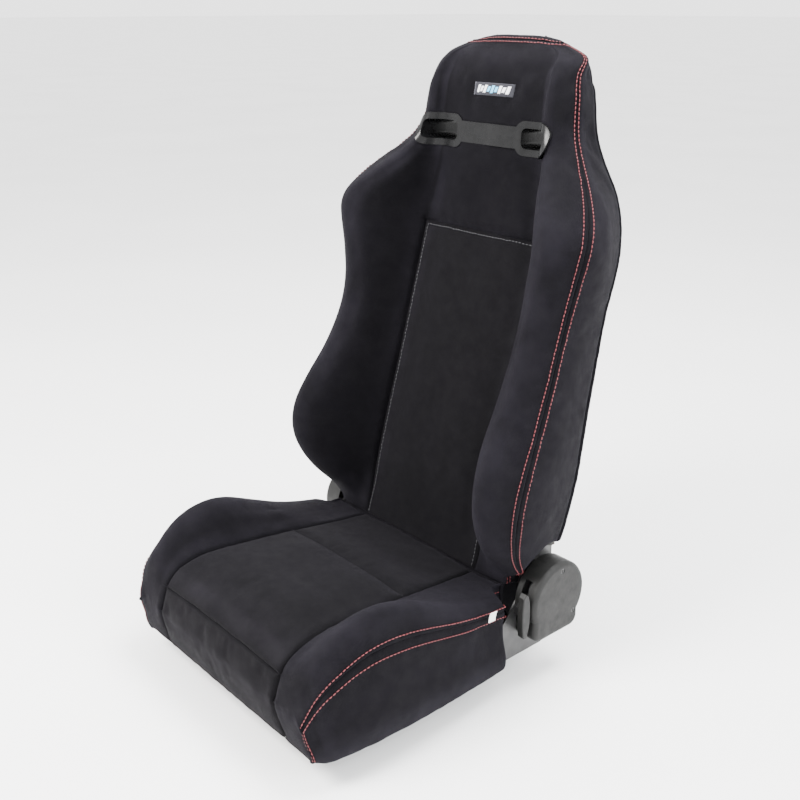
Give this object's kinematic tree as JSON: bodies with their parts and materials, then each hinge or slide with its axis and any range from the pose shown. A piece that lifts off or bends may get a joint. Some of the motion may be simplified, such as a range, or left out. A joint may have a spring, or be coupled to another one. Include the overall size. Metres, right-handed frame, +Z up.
{
  "type": "racing seat",
  "caption": "Reclining bucket-style racing seat with high side bolsters, integral headrest with harness slots, and floor sliders.",
  "frame": {"origin": "centre of the four floor bolt holes, on the underside of the slider rails", "axes": "+Z up from the floor, -Y the way the seat faces, +X the sitter's left, the side with the recline lever"},
  "size_m": [0.5543, 0.6603, 0.9908],
  "materials": {
    "woven_fabric": "black woven seat cloth",
    "insert_fabric": "smooth black centre cloth",
    "foam": "moulded polyurethane foam",
    "badge_cloth": "pale woven strip with no lettering",
    "tag_cloth": "blank white woven tag",
    "black_plastic": "satin moulded black plastic",
    "grey_plastic": "grained dark grey plastic",
    "back_board": "pressed fibre board",
    "painted_steel": "black powder coat",
    "zinc_steel": "zinc-plated steel",
    "spring_steel": "oiled spring steel",
    "rubber_grip": "soft black grip"
  },
  "bodies": {
    "floor_rails": {"lower_rail_left": "zinc_steel", "lower_rail_right": "zinc_steel"},
    "seat_base": {"upper_rail_left": "zinc_steel", "upper_rail_right": "zinc_steel", "rail_balls_left": "spring_steel", "rail_balls_right": "spring_steel", "rail_bolts": "zinc_steel", "rail_nuts": "zinc_steel", "side_member_left": "painted_steel", "side_member_right": "painted_steel", "front_cross_tube": "painted_steel", "rear_cross_tube": "painted_steel", "cushion_springs": "spring_steel", "cushion_front_pan": "painted_steel", "cushion_foam_center": "foam", "cushion_bolster_foam_left": "foam", "cushion_bolster_foam_right": "foam", "cushion_cover": "woven_fabric", "cushion_tag": "tag_cloth", "recliner_fixed_disc_left": "zinc_steel", "recliner_fixed_disc_right": "zinc_steel", "recliner_spring_left": "spring_steel", "recliner_spring_right": "spring_steel", "recliner_cover_left": "grey_plastic", "recliner_cover_right": "grey_plastic", "recliner_cover_screws": "zinc_steel", "release_spring_left": "spring_steel", "release_spring_right": "spring_steel"},
    "backrest": {"backrest_frame": "painted_steel", "headrest_rod": "painted_steel", "lower_back_tube": "painted_steel", "backrest_arm_left": "painted_steel", "backrest_arm_right": "painted_steel", "arm_bolts": "zinc_steel", "arm_spacers": "zinc_steel", "backrest_springs": "spring_steel", "recliner_moving_disc_left": "zinc_steel", "recliner_moving_disc_right": "zinc_steel", "backrest_foam_center": "foam", "backrest_bolster_foam_left": "foam", "backrest_bolster_foam_right": "foam", "headrest_foam": "foam", "backrest_cover": "woven_fabric", "backrest_back_board": "back_board", "headrest_badge": "badge_cloth", "harness_bezel_front": "black_plastic", "harness_bezel_rear": "black_plastic", "harness_slot_sleeves": "black_plastic", "bezel_screws": "zinc_steel"},
    "recline_release": {"recliner_cross_shaft": "zinc_steel", "shaft_clips": "zinc_steel", "recline_lever": "painted_steel", "lever_paddle": "grey_plastic"},
    "slide_release": {"slide_release_bar": "painted_steel", "slide_release_grip": "rubber_grip", "slide_latch_left": "painted_steel", "slide_latch_right": "painted_steel"}
  },
  "joints": [
    {"name": "fore_aft", "type": "slide", "parent": "floor_rails", "child": "seat_base", "axis": [0, -1, 0], "range_m": [-0.09, 0.09]},
    {"name": "recline", "type": "hinge", "parent": "seat_base", "child": "backrest", "pos_m": [0, 0.21, 0.14], "axis": [-1, 0, 0], "range_deg": [0, 60]},
    {"name": "recline_lever", "type": "hinge", "parent": "seat_base", "child": "recline_release", "pos_m": [0, 0.21, 0.14], "axis": [1, 0, 0], "range_deg": [-16, 0], "stiffness_Nm_per_rad": 4},
    {"name": "slide_release_lift", "type": "hinge", "parent": "seat_base", "child": "slide_release", "pos_m": [0, -0.025, 0.032], "axis": [-1, 0, 0], "range_deg": [0, 7], "stiffness_Nm_per_rad": 12}
  ]
}
